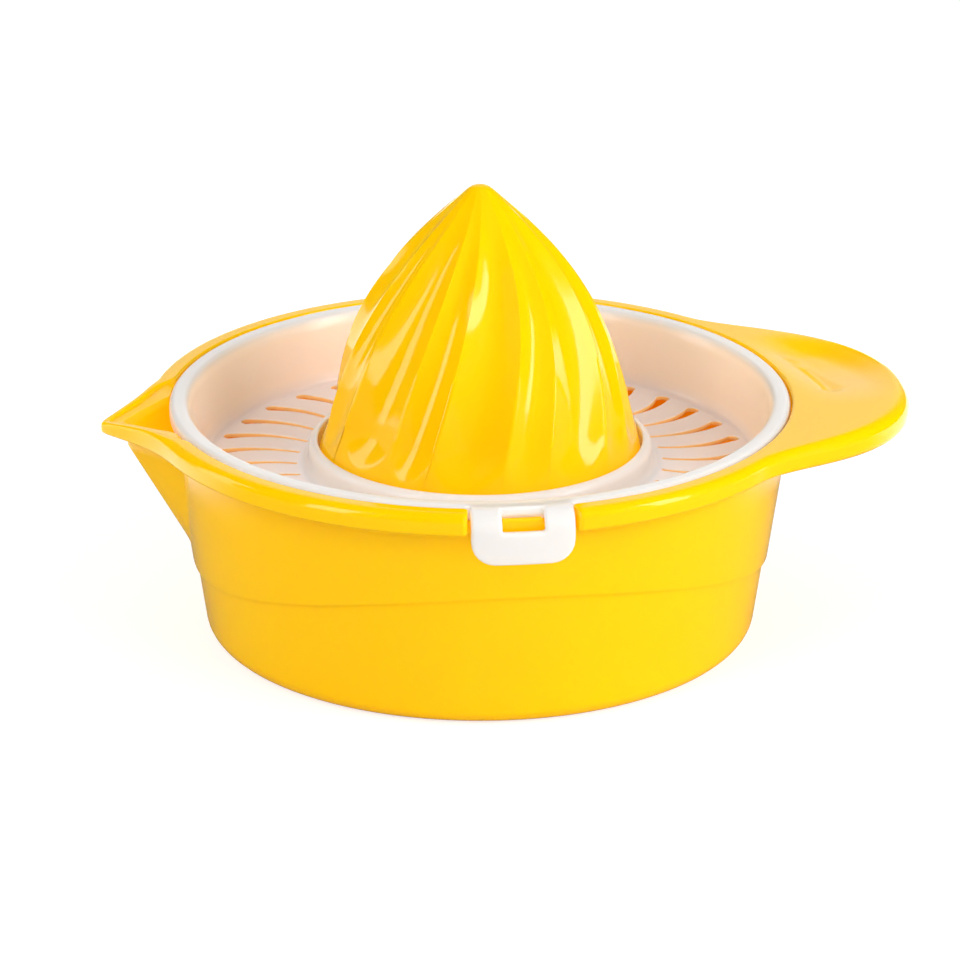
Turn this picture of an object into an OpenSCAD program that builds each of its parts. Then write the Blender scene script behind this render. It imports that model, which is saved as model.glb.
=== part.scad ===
// Hand citrus juicer: a pouring bowl, a lift-out strainer and a fluted reamer cone.
// Millimetres, +Z up. The origin is on the bowl's axis, in the face that it stands on.
// The handle points to +X, the spout to -X, and the strainer's finger tabs lie at -Y and +Y.

/* [Bowl] */
// Height of the bowl's rim above the table
bowl_h = 54; // [48:0.5:70]
// Radius of the recess in the rim that takes the strainer's ring
seat_r = 70.4; // [66:0.2:90]
// Width of the ledge under the strainer's ring
ledge_w = 2.7; // [2:0.1:5]
// Width of the rim outside the recess
rim_w = 4.6; // [3.5:0.1:8]
// Height of the rim's bead
rim_t = 5; // [4.5:0.1:8]
// Radius of the bead's upper edge
rim_round = 2.2; // [0.8:0.1:3]
// Outer radius of the wall's line at table height
foot_r = 62.8; // [50:0.2:66]
// Thickness of the wall
wall = 2.2; // [1.6:0.1:3.4]
// Thickness of the floor
floor_t = 2.6; // [1.8:0.1:5]
// Radius of the rounding at the foot
foot_round = 4; // [1:0.5:6]
// How far the lower band of the wall is set in
step_in = 0.8; // [0.4:0.1:1.4]
// Height of the band's edge under the handle and the spout
step_side_z = 17.3; // [10:0.1:22]
// Height of the band's edge under the finger tabs
step_front_z = 31.7; // [24:0.1:36]

/* [Spout] */
// Reach of the spout beyond the rim
spout_reach = 10.5; // [6:0.5:18]
// Half of the angle over which the rim runs out into the spout
spout_spread = 18; // [15:1:30]
// Softness of the spout's nose, in degrees
spout_nose = 0.8; // [0.6:0.1:3]
// How far the spout's tip lies below the rim
spout_drop = 2.2; // [0:0.1:4]
// Thickness of the lip at the spout's tip
spout_lip = 2.6; // [2:0.1:4]
// Width of the lip along the spout's sides
lip_w = 2.2; // [1.8:0.1:3]
// Height at which the spout's keel runs out of the wall
keel_z = 22.4; // [14:0.2:30]
// Half of the angle that the keel takes at the rim
keel_spread = 13; // [10:0.5:14]

/* [Handle] */
// Reach of the handle beyond the rim
handle_reach = 22.6; // [14:0.2:40]
// Half of the angle over which the rim runs out into the handle
handle_spread = 42; // [30:1:55]
// Height of the handle's edge
handle_t = 6.8; // [5:0.1:9]
// Thickness of the handle's top plate
plate_t = 3.4; // [2.6:0.1:4.4]
// Depth of the thumb dish
dish_depth = 1.2; // [0.5:0.1:1.6]
// Radius of the thumb dish, as a share of the handle's reach
dish_share = 0.58; // [0.4:0.01:0.62]

/* [Strainer] */
// Gap between the strainer's ring and its recess
ring_gap = 0.4; // [0.3:0.05:0.8]
// Width of the ring's top
ring_w = 4.3; // [3:0.1:6]
// Thickness of the ring
ring_t = 3.2; // [2.4:0.1:3.6]
// How far the ring stands above the bowl's rim
ring_proud = 0.2; // [0:0.1:0.6]
// Depth of the strainer's floor below the ring's top
basin_d = 15.8; // [12:0.2:18]
// How far the basin's wall leans in from the ring to the floor
basin_lean = 2.8; // [2.6:0.1:6]
// Least gap between the basin's foot and the bowl's wall
basin_gap = 0.6; // [0.4:0.1:2]
// How far the plate inside the collar lies above the floor
plate_lift = 2; // [1.8:0.1:3]
// Thickness of the strainer's wall and floor
sieve_t = 1.6; // [1.4:0.1:2.2]
// Number of slots
slot_count = 36; // [24:1:40]
// Width of a slot at its outer end
slot_w = 3.4; // [2:0.1:4]
// Width of a slot at its inner end
slot_w_inner = 1.1; // [0.8:0.1:2]
// Plain margin of the floor outside the slots
slot_margin = 3.6; // [3.4:0.1:6]
// Angle by which a slot swirls from its inner to its outer end
slot_swirl = 8; // [0:0.5:14]
// Angle by which a slot first leans the other way
slot_back = 6; // [0:0.5:8]
// Width of the collar's rim round the cone's foot
collar_w = 1.7; // [1.4:0.1:3]
// Height of the collar above the floor
collar_h = 5.8; // [5:0.1:8]
// Radius of the hollow at the collar's foot
collar_flare = 2; // [1:0.1:3]

/* [Finger tabs] */
// Width of a tab
tab_w = 22.4; // [16:0.2:30]
// Length of a tab below the ring's top
tab_h = 11.6; // [9.5:0.1:14]
// Thickness of a tab
tab_t = 2.2; // [1.6:0.1:2.6]
// Outer radius of the tab's shoulder
tab_bend = 4.5; // [3.6:0.1:5]
// Radius of the tab's lower corners
tab_corner = 5; // [2:0.5:8]
// Width of the window in a tab
window_w = 9.2; // [6:0.2:14]
// Depth of the window's lower edge below the ring's top
window_h = 4.3; // [3.4:0.1:6]
// How far a tab stands outside the rim
tab_proud = 0.6; // [0.4:0.1:1.5]
// Gap between a tab's sides and its notch in the rim
tab_gap = 0.4; // [0.3:0.05:1]
// Gap between a tab's back and its notch in the rim
notch_gap = 1.1; // [0.6:0.1:1.6]

/* [Reamer] */
// Radius of the cone's foot
cone_r = 36.7; // [33:0.1:40]
// Height of the cone
cone_h = 63.3; // [50:0.1:75]
// Radius at which the cone's side runs into its rounded nose
nose_r = 3.2; // [2:0.1:5]
// Height of the rounded nose
nose_h = 1.4; // [0.8:0.1:1.8]
// Number of pairs of flutes, one wide and one narrow
flute_pairs = 8; // [6:1:10]
// Share of a pair that the wide flute takes
wide_share = 0.62; // [0.5:0.01:0.7]
// Depth of a wide flute
wide_depth = 2.4; // [1:0.1:3]
// Depth of a narrow flute
narrow_depth = 1.4; // [0.5:0.1:2]
// Direction in which a wide flute starts at the foot, in degrees from the handle
flute_start = 15.6; // [0:0.1:45]
// Twist of the flutes from the foot to the tip, in degrees
cone_twist = 26; // [0:1:45]
// Plain band at the foot, below the flutes
foot_band = 5; // [3:0.1:8]
// Thickness of the cone's wall
cone_wall = 2.2; // [1.6:0.1:3]
// Gap between the cone's foot and the collar
cone_gap = 0.4; // [0.3:0.05:0.8]

/* [Hub] */
// How far the hub that holds the cone stays inside the cone's foot
hub_inset = 9.7; // [9:0.1:14]
// Height of the hub above the strainer's floor
hub_h = 10; // [6:0.5:14]
// Width of the keys that stop the cone turning
key_w = 4; // [3:0.1:6]
// Gap between a key and its notch in the hub
key_gap = 0.3; // [0.2:0.05:0.5]

/* [Fits] */
// Gap under a piece at its seat
seat_gap = 0.3; // [0.2:0.05:0.5]

/* [Hidden] */
$fn = 96;
yellow = "#FFCB12";
white = "#F3F1EE";
clear = 0.01;
through = 4;

// Heights
ring_z = bowl_h + ring_proud;
seat_z = ring_z - ring_t - seat_gap;
bead_z = bowl_h - rim_t;
sieve_z = ring_z - basin_d;
hub_z = sieve_z + plate_lift;
cone_z = hub_z + seat_gap;

// Radii
rim_r = seat_r + rim_w;
mouth_r = seat_r - ledge_w;
ring_r = seat_r - ring_gap;
basin_r = ring_r - ring_w;
// The basin leans in further where the bowl's wall comes close to its foot
sieve_r = min(basin_r - basin_lean, wall_r(sieve_z) - wall - step_in - sieve_t - basin_gap);
collar_in = cone_r + cone_gap;
collar_r = collar_in + collar_w;
slot_in = collar_r + collar_flare + slot_w_inner / 2;
slot_out = sieve_r - slot_margin;
hub_r = cone_r - hub_inset;
tab_r = rim_r + tab_proud;
tab_in = tab_r - tab_t;
notch_r = tab_in - notch_gap;

// The wall leans out from the foot to the mouth
function wall_r(z) = foot_r + (mouth_r + wall - foot_r) * z / bead_z;
wall_lean = atan((mouth_r + wall - foot_r) / bead_z);

// Part of a circle as points, from one angle to another
function arc(c, r, from, to, n = 8) =
    [for (i = [0 : n]) let (a = from + (to - from) * i / n) c + r * [cos(a), sin(a)]];

// How far out the rim runs, as a share of the reach, at an angle from the handle or from the spout
handle_ease = 1.25;
function handle_share(a) =
    abs(a) < handle_spread ? pow(cos(90 * pow(abs(a) / handle_spread, handle_ease)), 2) : 0;
spout_ease = 2.4;
function soft(a) = sqrt(a * a + spout_nose * spout_nose) - spout_nose;
function spout_share(a) = soft(a) < spout_spread ? pow(1 - soft(a) / spout_spread, spout_ease) : 0;

// A solid between rows of points: each row is a closed section, with the same number of points
function loft_faces(rows, n) = concat(
    [[for (i = [0 : n - 1]) i]],
    [for (j = [0 : rows - 2], i = [0 : n - 1])
        let (k = (i + 1) % n)
        [j * n + k, j * n + i, (j + 1) * n + i]],
    [for (j = [0 : rows - 2], i = [0 : n - 1])
        let (k = (i + 1) % n)
        [j * n + k, (j + 1) * n + i, (j + 1) * n + k]],
    [[for (i = [n - 1 : -1 : 0]) (rows - 1) * n + i]]);
module loft(rows) {
    n = len(rows[0]);
    polyhedron([for (row = rows) each row], loft_faces(len(rows), n), convexity = 6);
}

// One upright section of the rim, turned to an angle, with a rounded upper edge
flange_core = 1;
edge_round = 0.8;
function flange_section(a, r, top, bottom) =
    let (round = min(rim_round, (top - bottom) / 2),
         side = concat(
            [[seat_r + flange_core, bottom]],
            arc([r - edge_round, bottom + edge_round], edge_round, -90, 0, 2),
            arc([r - round, top - round], round, 0, 90, 4),
            [[seat_r + flange_core, top]]))
    [for (p = side) [p[0] * cos(a), p[0] * sin(a), p[1]]];

// The handle's tongue grows out of the bead
bury = 0.5;
handle_steps = 42;
function handle_r(a) = rim_r - bury + (handle_reach + bury) * handle_share(a);
module handle_tongue() {
    loft([for (i = [handle_steps : -1 : -handle_steps])
        let (a = handle_spread * i / handle_steps, s = handle_share(a))
        flange_section(a, handle_r(a), bowl_h, bowl_h - rim_t - (handle_t - rim_t) * s)]);
}

// The handle is cored out from below, which leaves its plate and its edge
core_share = 0.62;
module handle_core() {
    steps = 24;
    inner = rim_r + wall;
    reach = handle_spread * core_share;
    outer = [for (i = [-steps : steps])
        let (a = reach * i / steps, r = max(inner, handle_r(a) - wall))
        r * [cos(a), sin(a)]];
    inside = [for (i = [steps : -1 : -steps])
        let (a = reach * i / steps)
        inner * [cos(a), sin(a)]];
    translate([0, 0, bowl_h - handle_t - through])
        linear_extrude(handle_t + through - plate_t)
            polygon(concat(outer, inside));
}

// The thumb dish is the cap of a large sphere
module thumb_dish() {
    dish_r = dish_share * handle_reach;
    ball_r = (dish_r * dish_r + dish_depth * dish_depth) / (2 * dish_depth);
    translate([rim_r + handle_reach / 2, 0, bowl_h - dish_depth + ball_r])
        sphere(ball_r, $fn = 200);
}

// The spout's lip grows out of the bead, and dips towards its tip
spout_steps = 30;
step_ease = 1.6;
function spout_angle(i, spread = spout_spread) = spread * sign(i) * pow(abs(i) / spout_steps, step_ease);
module spout_lip() {
    loft([for (i = [spout_steps : -1 : -spout_steps])
        let (a = spout_angle(i),
             s = spout_share(a),
             top = bowl_h - spout_drop * s)
        flange_section(180 + a, rim_r - bury + (spout_reach + bury) * s, top,
            top - rim_t + (rim_t - spout_lip) * s)]);
}

// Below the lip the wall is drawn out into a keel with straight sides, which runs down to the wall.
// A level section of it, moved in by an inset
keel_ease = 0.57;
keel_least = 0.05;
keel_under = 2;
inset_edge = 1.4;
inset_angle = 2;
inset_least = 1;
function keel_side(a, spread, edge_r, side_r) =
    let (d = side_r * [cos(spread), sin(spread)] - [edge_r, 0])
    edge_r * d[1] / (cos(soft(a)) * d[1] - sin(soft(a)) * d[0]);
function keel_section(z, inset, inner) =
    let (t = (z - keel_z) / (bowl_h - keel_z),
         spread = max(inset_least, keel_spread * pow(max(keel_least, t), keel_ease) - inset_angle * inset),
         reach = (rim_r + spout_reach - wall_r(bead_z) - keel_under) * t,
         edge_r = wall_r(z) + reach - bury / 2 * (1 - t) - inset_edge * inset)
    concat(
        [for (i = [-spout_steps : 5 : spout_steps])
            let (a = spout_angle(i, spread), r = keel_side(a, spread, edge_r, wall_r(z) - bury - inset))
            [r * cos(180 + a), r * sin(180 + a), z]],
        [for (a = [180 + spread, 180 - spread]) [inner * cos(a), inner * sin(a), z]]);
module keel(inset, from, to, depth) {
    steps = 8;
    loft([for (j = [0 : steps])
        let (z = from + (to - from) * j / steps)
        keel_section(z, inset, wall_r(z) - depth)]);
}

// Above the ledge the channel opens out to a thin lip. Its columns stand between those of the lip's outside
lip_plain = 0.65;
lip_share = 0.8;
lip_start = 0.3;
function lip_in(a) = rim_r + spout_reach * spout_share(a) - lip_w
    - (rim_w + bury - lip_w) * smooth((abs(a) / spout_spread - lip_plain) / (1 - lip_plain));
module lip_channel() {
    rows = 2;
    steps = 6;
    step = lip_share * spout_spread / steps;
    from = seat_z + bury;
    loft([for (j = [0 : rows])
        let (z = from + (bowl_h + through - from) * j / rows)
        concat(
            [for (i = [-steps : steps - 1])
                let (a = step * (i + 0.5),
                     h = min(1, (z - from) / (bowl_h - spout_drop * spout_share(a) - from)),
                     r = seat_r + lip_start + (lip_in(a) - seat_r - lip_start) * h)
                [r * cos(180 + a), r * sin(180 + a), z]],
            [for (side = [1, -1])
                let (a = 180 + side * step * (steps - 0.5))
                (seat_r - wall) * [cos(a), sin(a), 0] + [0, 0, z]])]);
}

// The wall of the bowl: a lower band, and above its arched edge a wall that stands proud of it
foot_back = foot_round * (1 - sin(wall_lean)) / cos(wall_lean);
module outer_wall(inset) {
    top = bead_z + rim_t / 4;
    rotate_extrude() polygon(concat(
        [[0, 0]],
        arc([foot_r - inset - foot_back, foot_round], foot_round, -90, -wall_lean, 6),
        [[wall_r(bead_z) - inset, bead_z], [wall_r(bead_z) - inset, top], [0, top]]));
}
module upper_wall() {
    rise = step_front_z - step_side_z;
    side = wall_r(step_front_z);
    scoop_r = (side * side + rise * rise) / (2 * rise);
    intersection() {
        outer_wall(0);
        translate([0, 0, step_side_z + scoop_r])
            rotate([0, 90, 0])
                cylinder(r = scoop_r, h = 4 * foot_r, center = true, $fn = 200);
    }
}

// The bead round the mouth, with its rounded upper edge
module bead() {
    rotate_extrude() polygon(concat(
        [[mouth_r, bead_z]],
        arc([rim_r - edge_round, bead_z + edge_round], edge_round, -90, 0, 3),
        arc([rim_r - rim_round, bowl_h - rim_round], rim_round, 0, 90, 6),
        [[mouth_r, bowl_h]]));
}

// What the bowl holds: its inside, the strainer's recess, and the spout's channel
module bowl_inside() {
    floor_r = wall_r(floor_t) - wall - step_in;
    rotate_extrude() polygon(concat(
        [[0, floor_t]],
        arc([floor_r - foot_back, floor_t + foot_round], foot_round, -90, -wall_lean, 6),
        [[mouth_r - step_in, bead_z], [mouth_r, seat_z - clear], [mouth_r, seat_z], [seat_r, seat_z],
         [seat_r, bowl_h + through], [0, bowl_h + through]]));
}

// A notch in the rim for a finger tab
module rim_notch() {
    half = tab_w / 2 + tab_gap;
    intersection() {
        translate([-half, -rim_r - through, bead_z - clear])
            cube([2 * half, rim_r + through, rim_t + through]);
        union() {
            difference() {
                cylinder(r = rim_r + through, h = 2 * bowl_h);
                translate([0, 0, -through]) cylinder(r = notch_r, h = 2 * bowl_h + 2 * through);
            }
            translate([0, 0, seat_z]) cylinder(r = rim_r + through, h = bowl_h);
        }
    }
}

module bowl() {
    color(yellow) difference() {
        union() {
            outer_wall(step_in);
            upper_wall();
            bead();
            handle_tongue();
            spout_lip();
            keel(0, keel_z, bowl_h - spout_drop - spout_lip / 2, wall);
        }
        bowl_inside();
        keel(wall, keel_z + 4 * wall, bowl_h + through, 3 * wall);
        lip_channel();
        handle_core();
        thumb_dish();
        for (side = [0, 180]) rotate(side) rim_notch();
    }
}

// The strainer's revolved form: ring, basin wall, floor and collar
module sieve_form() {
    ring_round = 0.8;
    top_round = collar_w / 2;
    fillet = 1.5;
    collar_top = sieve_z + collar_h;
    rotate_extrude() polygon(concat(
        [[0, hub_z - sieve_t], [collar_in, hub_z - sieve_t], [collar_r, sieve_z - sieve_t],
         [sieve_r, sieve_z - sieve_t], [sieve_r + sieve_t, sieve_z],
         [basin_r - (basin_r - sieve_r) * ring_t / basin_d + sieve_t, ring_z - ring_t],
         [ring_r, ring_z - ring_t]],
        arc([ring_r - ring_round, ring_z - ring_round], ring_round, 0, 90, 4),
        arc([basin_r + ring_round, ring_z - ring_round], ring_round, 90, 170, 4),
        arc([sieve_r - fillet, sieve_z + fillet], fillet, -10, -90, 4),
        arc([collar_r + collar_flare, sieve_z + collar_flare], collar_flare, -90, -180, 6),
        arc([collar_r - top_round, collar_top - top_round], top_round, 0, 180, 8),
        [[collar_in, hub_z], [0, hub_z]]));
}

// The slots as seen from above: each is a curved drop, wide at its outer end
module slot_outline() {
    steps = 8;
    function at(t) = slot_in + (slot_out - slot_in) * t;
    function lean(t) = slot_swirl * t * t - slot_back * t;
    function half(t) = (slot_w_inner + (slot_w - slot_w_inner) * t * t) / 2;
    function side(t, s) =
        let (a = lean(t)) at(t) * [cos(a), sin(a)] + s * half(t) * [-sin(a), cos(a)];
    polygon(concat(
        [for (i = [0 : steps]) side(i / steps, -1)],
        [for (b = [-60, 0, 60]) let (a = lean(1))
            at(1) * [cos(a), sin(a)] + half(1) * [cos(a + b), sin(a + b)]],
        [for (i = [steps : -1 : 0]) side(i / steps, 1)]));
}
module slots() {
    translate([0, 0, sieve_z - 2 * sieve_t])
        linear_extrude(3 * sieve_t)
            for (i = [0 : slot_count - 1]) rotate(360 * (i + 0.5) / slot_count) slot_outline();
}

// A finger tab: a strap that bends over the rim, with a window at the bend
module tab() {
    bend_c = [tab_r - tab_bend, ring_z - tab_bend];
    low = ring_z - tab_h;
    window_in = ring_r + tab_t / 2;
    intersection() {
        rotate_extrude() polygon(concat(
            [[tab_in, low], [tab_r, low]],
            arc(bend_c, tab_bend, 0, 90, 8),
            [[basin_r + ring_w / 2, ring_z], [basin_r + ring_w / 2, ring_z - tab_t]],
            arc(bend_c, tab_bend - tab_t, 90, 0, 6)));
        rotate([90, 0, 0]) linear_extrude(tab_r + through) polygon(concat(
            [[tab_w / 2, ring_z + through], [-tab_w / 2, ring_z + through]],
            arc([tab_corner - tab_w / 2, low + tab_corner], tab_corner, 180, 270, 6),
            arc([tab_w / 2 - tab_corner, low + tab_corner], tab_corner, 270, 360, 6)));
        difference() {
            translate([-tab_w, -tab_r - through, 0]) cube([2 * tab_w, tab_r + through, 2 * bowl_h]);
            translate([-window_w / 2, -tab_r - 2 * through, ring_z - window_h])
                cube([window_w, tab_r + 2 * through - window_in, bowl_h]);
        }
    }
}

// The hub under the cone, notched for the cone's keys
hub_wall = 2;
module hub() {
    difference() {
        translate([0, 0, hub_z - sieve_t / 2]) cylinder(r = hub_r, h = hub_h + sieve_t / 2);
        translate([0, 0, hub_z - sieve_t]) cylinder(r = hub_r - hub_wall, h = hub_h + 2 * sieve_t);
        translate([-2 * hub_r, -key_w / 2 - key_gap, hub_z])
            cube([4 * hub_r, key_w + 2 * key_gap, 2 * hub_h]);
    }
}

module strainer() {
    color(white) {
        difference() {
            sieve_form();
            slots();
        }
        hub();
        for (side = [0, 180]) rotate(side) tab();
    }
}

// The cone's side is one smooth curve from the foot to the nose
swell_low = [0.854, 0.381];
swell_high = [0.824, 0.605];
function bezier(u, p, q, r, s) =
    pow(1 - u, 3) * p + 3 * u * pow(1 - u, 2) * q + 3 * u * u * (1 - u) * r + u * u * u * s;
function cone_side(u) = bezier(u, [cone_r, 0], [cone_r * swell_low[0], cone_h * swell_low[1]],
    [cone_r * swell_high[0], cone_h * swell_high[1]], [nose_r, cone_h - nose_h]);

// The nose is the cap of a ball, which ends in a very small flat
nose_ball = (nose_r * nose_r + nose_h * nose_h) / (2 * nose_h);
nose_angle = asin(nose_r / nose_ball);
nose_steps = 3;
nose_flat = 0.1;
nose = [for (j = [1 : nose_steps])
    let (a = nose_angle * (1 - (1 - nose_flat) * j / nose_steps))
    [nose_ball * sin(a), cone_h - nose_ball * (1 - cos(a))]];

// Depth of the flutes at a place round the cone, as a share of one pair
function scallop(s) = 4 * s * (1 - s);
function flute(p) =
    p < wide_share ? wide_depth * scallop(p / wide_share)
                   : narrow_depth * scallop((p - wide_share) / (1 - wide_share));
fade_share = 0.35;
function smooth(t) = let (c = min(1, max(0, t))) c * c * (3 - 2 * c);
function flute_fade(z) = smooth((z - foot_band) / foot_band) * smooth((cone_h - z) / (cone_h * fade_share));

// Steps round one pair of flutes, so that each ridge has a point of its own
wide_steps = 8;
narrow_steps = 5;
function pair_place(k) =
    k < wide_steps ? wide_share * k / wide_steps
                   : wide_share + (1 - wide_share) * (k - wide_steps) / narrow_steps;

// One level section of the cone
function cone_section(p) =
    let (fade = flute_fade(p[1]),
         turn = flute_start + cone_twist * p[1] / cone_h)
    [for (pair = [0 : flute_pairs - 1], k = [0 : wide_steps + narrow_steps - 1])
        let (s = pair_place(k),
             a = 360 * (pair + s) / flute_pairs + turn,
             r = p[0] - fade * flute(s))
        [r * cos(a), r * sin(a), cone_z + p[1]]];
cone_rows = 22;
module cone_form() {
    side = [for (j = [0 : cone_rows]) cone_side(j / cone_rows)];
    loft([for (p = concat(side, nose)) cone_section(p)]);
}

// The inside follows the outside, clear of the flutes
hollow_share = 0.93;
hollow_steps = 12;
function hollow_side(u) =
    let (p = cone_side(hollow_share * u))
    [p[0] - cone_wall - wide_depth * smooth(p[1] / foot_band / 2), cone_z + p[1]];
module cone_hollow() {
    side = [for (j = [0 : hollow_steps]) hollow_side(j / hollow_steps)];
    foot = side[0];
    top = side[hollow_steps];
    rotate_extrude() polygon(concat([[0, foot[1] - through], foot - [0, through]], side, [[0, top[1]]]));
}

// Two keys run from the cone's wall into the notches of the hub
key_inside = 1;
key_rise = 0.25;
module cone_keys() {
    key_in = hub_r - hub_wall - key_inside;
    steps = 4;
    rooted = [for (j = [0 : steps]) hollow_side(key_rise * j / steps) + [cone_wall / 2, 0]];
    for (side = [0, 180]) rotate([90, 0, side])
        linear_extrude(key_w, center = true)
            polygon(concat([[key_in, rooted[steps][1]], [key_in, cone_z]], rooted));
}
module reamer() {
    color(yellow) {
        difference() {
            cone_form();
            cone_hollow();
        }
        cone_keys();
    }
}

bowl();
strainer();
reamer();
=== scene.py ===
"""Hand citrus juicer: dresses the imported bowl, strainer and reamer, and sets the studio.

The frame is the part's own: +Z up, the handle at +X, the spout at -X, the finger tabs at -Y and +Y, and the
origin on the bowl's axis at table height. Forms are worked out in millimetres and turned into metres once.
"""

import logging
import math
from dataclasses import dataclass
from enum import Enum
from functools import partial
from typing import Any, Callable

import bmesh
import bpy
import numpy as np
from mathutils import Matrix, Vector

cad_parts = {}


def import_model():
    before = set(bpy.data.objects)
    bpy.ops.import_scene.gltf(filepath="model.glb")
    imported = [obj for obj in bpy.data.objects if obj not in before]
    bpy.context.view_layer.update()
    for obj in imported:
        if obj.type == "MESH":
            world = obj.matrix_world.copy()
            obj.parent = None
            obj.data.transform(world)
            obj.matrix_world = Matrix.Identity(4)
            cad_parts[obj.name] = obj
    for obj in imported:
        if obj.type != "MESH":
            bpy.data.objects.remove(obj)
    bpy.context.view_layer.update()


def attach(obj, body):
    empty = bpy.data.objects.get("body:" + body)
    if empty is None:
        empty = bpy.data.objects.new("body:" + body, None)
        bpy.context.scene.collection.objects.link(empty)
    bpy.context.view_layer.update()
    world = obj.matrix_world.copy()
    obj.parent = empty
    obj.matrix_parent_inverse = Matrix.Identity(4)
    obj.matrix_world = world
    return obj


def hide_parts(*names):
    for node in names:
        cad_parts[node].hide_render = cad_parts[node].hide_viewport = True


MM = 0.001
WELD_M = 2e-6
# Millimetres or degrees that tell one side of an edge from the other
HAIR = 0.01
LOG = logging.getLogger("juicer")

Array = np.ndarray
Pair = tuple[float, float]
Rgba = tuple[float, float, float, float]
Adder = Callable[..., Any]


class Body(Enum):
    """The part's bodies, which carry the name of their only node."""

    BOWL = "bowl"
    STRAINER = "strainer"
    REAMER = "reamer"


class Use(Enum):
    """What a softbox does: light the juicer, show as a highlight, or both."""

    LIGHT = "light"
    HIGHLIGHT = "highlight"
    BOTH = "both"


class Side(Enum):
    """The two sides of the strainer that have a finger tab, by their direction in degrees."""

    FRONT = -90.0
    BACK = 90.0


def linear(code: str) -> Rgba:
    """Turn an sRGB hex colour into a linear one.

    Args:
        code: Colour such as "#ffcc00".

    Returns:
        Linear red, green and blue, and an alpha of 1.
    """
    parts = [int(code[i : i + 2], 16) / 255 for i in (1, 3, 5)]
    red, green, blue = (v / 12.92 if v <= 0.04045 else ((v + 0.055) / 1.055) ** 2.4 for v in parts)
    return red, green, blue, 1.0


def add_node(tree: Any, kind: str, inputs: dict[Any, Any] | None = None, **settings: Any) -> Any:
    """Add a node to a tree, with its settings, values and links.

    Args:
        tree: Shader or geometry node tree.
        kind: The node's type.
        inputs: Socket name or number to a value, to the output that feeds it, or to a node whose first
            output in use feeds it.
        **settings: Properties of the node.

    Returns:
        The new node.
    """
    node = tree.nodes.new(kind)
    for key, value in settings.items():
        setattr(node, key, value)
    for key, value in (inputs or {}).items():
        if isinstance(value, bpy.types.Node):
            value = next(socket for socket in value.outputs if socket.enabled)
        if isinstance(value, bpy.types.NodeSocket):
            tree.links.new(value, node.inputs[key])
        else:
            node.inputs[key].default_value = value
    return node


def ease(t: Array) -> Array:
    """Run smoothly from 0 to 1 as t does, and stay there beyond."""
    c = np.clip(t, 0.0, 1.0)
    return c * c * (3.0 - 2.0 * c)


def arc(centre: tuple[Any, Any], radius: Any, start: float, end: float, count: int) -> Array:
    """Points along part of a circle, for one column or for many.

    Args:
        centre: Radius and height of the circle's centre, each a number or a (columns, 1) array.
        radius: The circle's radius, a number or a (columns, 1) array.
        start: First angle in degrees.
        end: Last angle in degrees.
        count: Number of points.

    Returns:
        Array of (columns, count, 2) radii and heights.
    """
    turn = np.radians(np.linspace(start, end, count))[None, :]
    return run(centre[0] + radius * np.cos(turn), centre[1] + radius * np.sin(turn))


def run(r: Any, z: Any) -> Array:
    """Pair radii with heights, for one column or for many.

    Args:
        r: Radii, anything that spreads to (points) or (columns, points).
        z: Heights, likewise.

    Returns:
        Array of (columns, points, 2), with one column if neither has more.
    """
    pair = np.stack(np.broadcast_arrays(np.asarray(r, float), np.asarray(z, float)), axis=-1)
    return pair if pair.ndim == 3 else pair[None]


def joined(columns: int, *stretches: Array) -> Array:
    """Join stretches of a section end to end.

    Args:
        columns: Number of columns.
        *stretches: Arrays of (columns, points, 2), or of one column that is the same for all.

    Returns:
        Array of (columns, points, 2).
    """
    return np.concatenate([np.broadcast_to(s, (columns,) + s.shape[1:]) for s in stretches], axis=1)


def turned_out(section: Array, degrees: Array) -> Array:
    """Place upright sections round the axis.

    Args:
        section: (columns, points, 2) radii and heights, or one column that is the same for all.
        degrees: Direction of each column.

    Returns:
        (columns, points, 3) places.
    """
    a = np.radians(degrees)[:, None]
    r, z = section[..., 0], section[..., 1]
    return np.stack(np.broadcast_arrays(r * np.cos(a), r * np.sin(a), z), axis=-1)


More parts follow.
